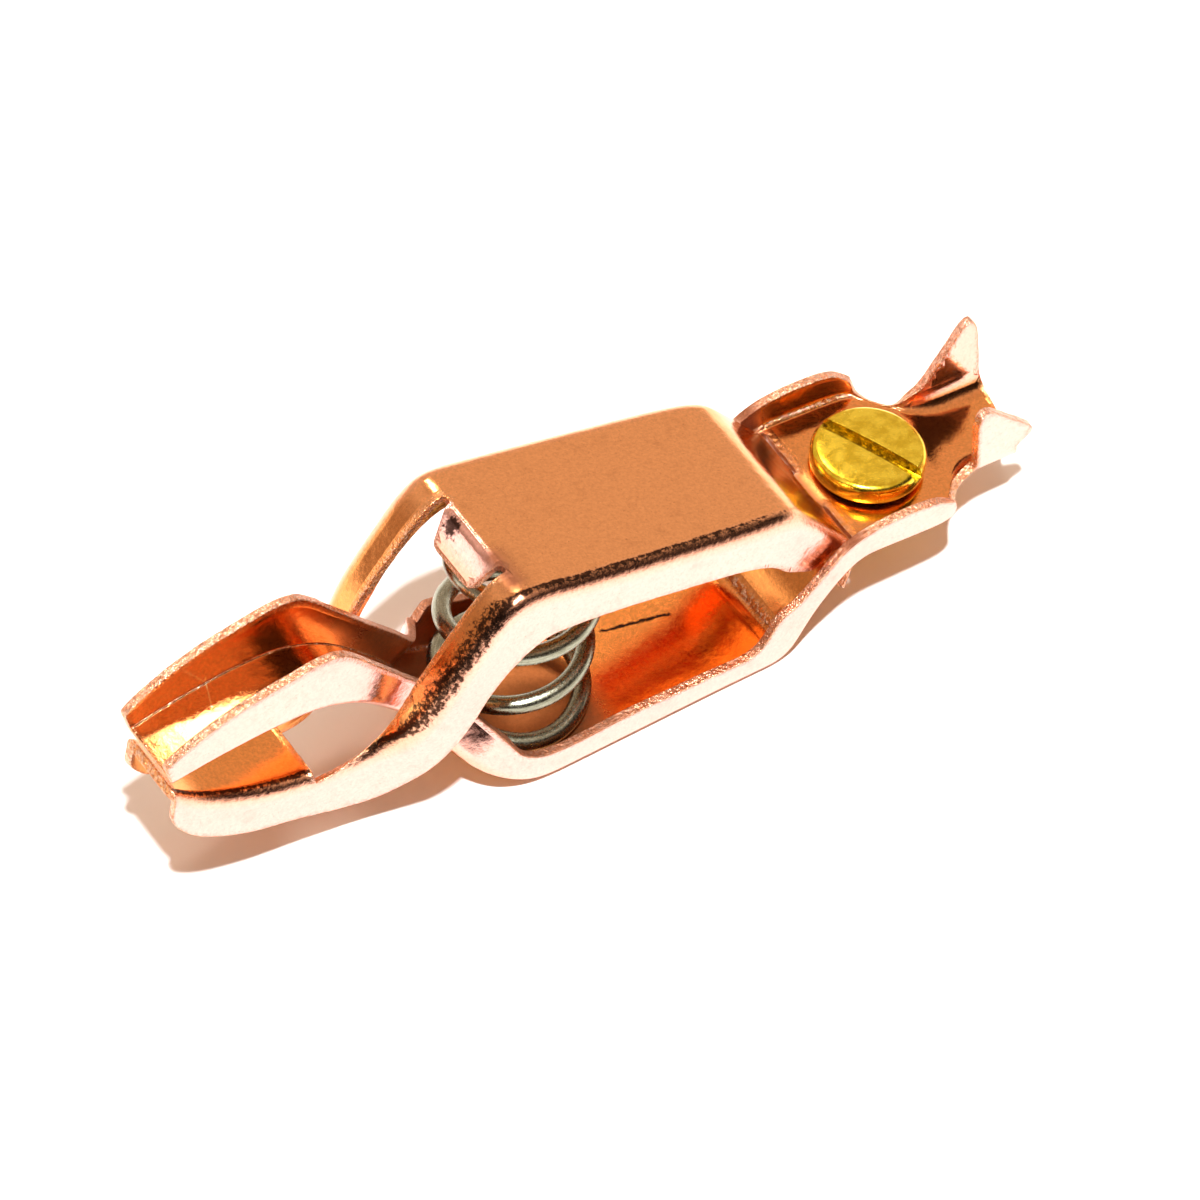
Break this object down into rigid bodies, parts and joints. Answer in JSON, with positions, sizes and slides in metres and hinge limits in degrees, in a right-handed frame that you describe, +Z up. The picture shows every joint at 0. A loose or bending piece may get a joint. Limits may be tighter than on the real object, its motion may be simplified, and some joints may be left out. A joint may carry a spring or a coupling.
{
  "type": "plier-type electrical test clip",
  "caption": "Small spring-loaded clip of two crossing copper-plated sheet levers that open narrow jaws, with a screw terminal and crimp ears for a wire.",
  "frame": {"origin": "on the table, under the middle of the closed clip's length and width", "axes": "+X runs along the clip to the wire end and -X to the jaws, +Z is up from the flat lower lever, and +Y is the side of the ear that is highest at the tail"},
  "size_m": [0.06, 0.0126, 0.0174],
  "materials": {
    "lower_plate": "copper-plated steel, bright with a fine grain",
    "upper_plate": "copper-plated steel, bright with a satin thumb plate",
    "spring_wire": "drawn steel wire, bright",
    "screw_brass": "turned brass, bright"
  },
  "bodies": {
    "lower_jaw_body": {"lower_lever": "lower_plate", "grip_spring": "spring_wire"},
    "upper_grip_body": {"upper_lever": "upper_plate"},
    "screw_body": {"terminal_screw": "screw_brass"}
  },
  "joints": [
    {"name": "jaw_open", "type": "hinge", "parent": "lower_jaw_body", "child": "upper_grip_body", "pos_m": [0.01553, 0, 0.0056], "axis": [0, -1, 0], "range_deg": [0, 12], "stiffness_Nm_per_rad": 0.8, "springref_deg": -8.59, "deforming": ["grip_spring"]},
    {"name": "screw_lift", "type": "slide", "parent": "lower_jaw_body", "child": "screw_body", "axis": [0.1098, 0, 0.994], "range_m": [0, 0.002]}
  ]
}
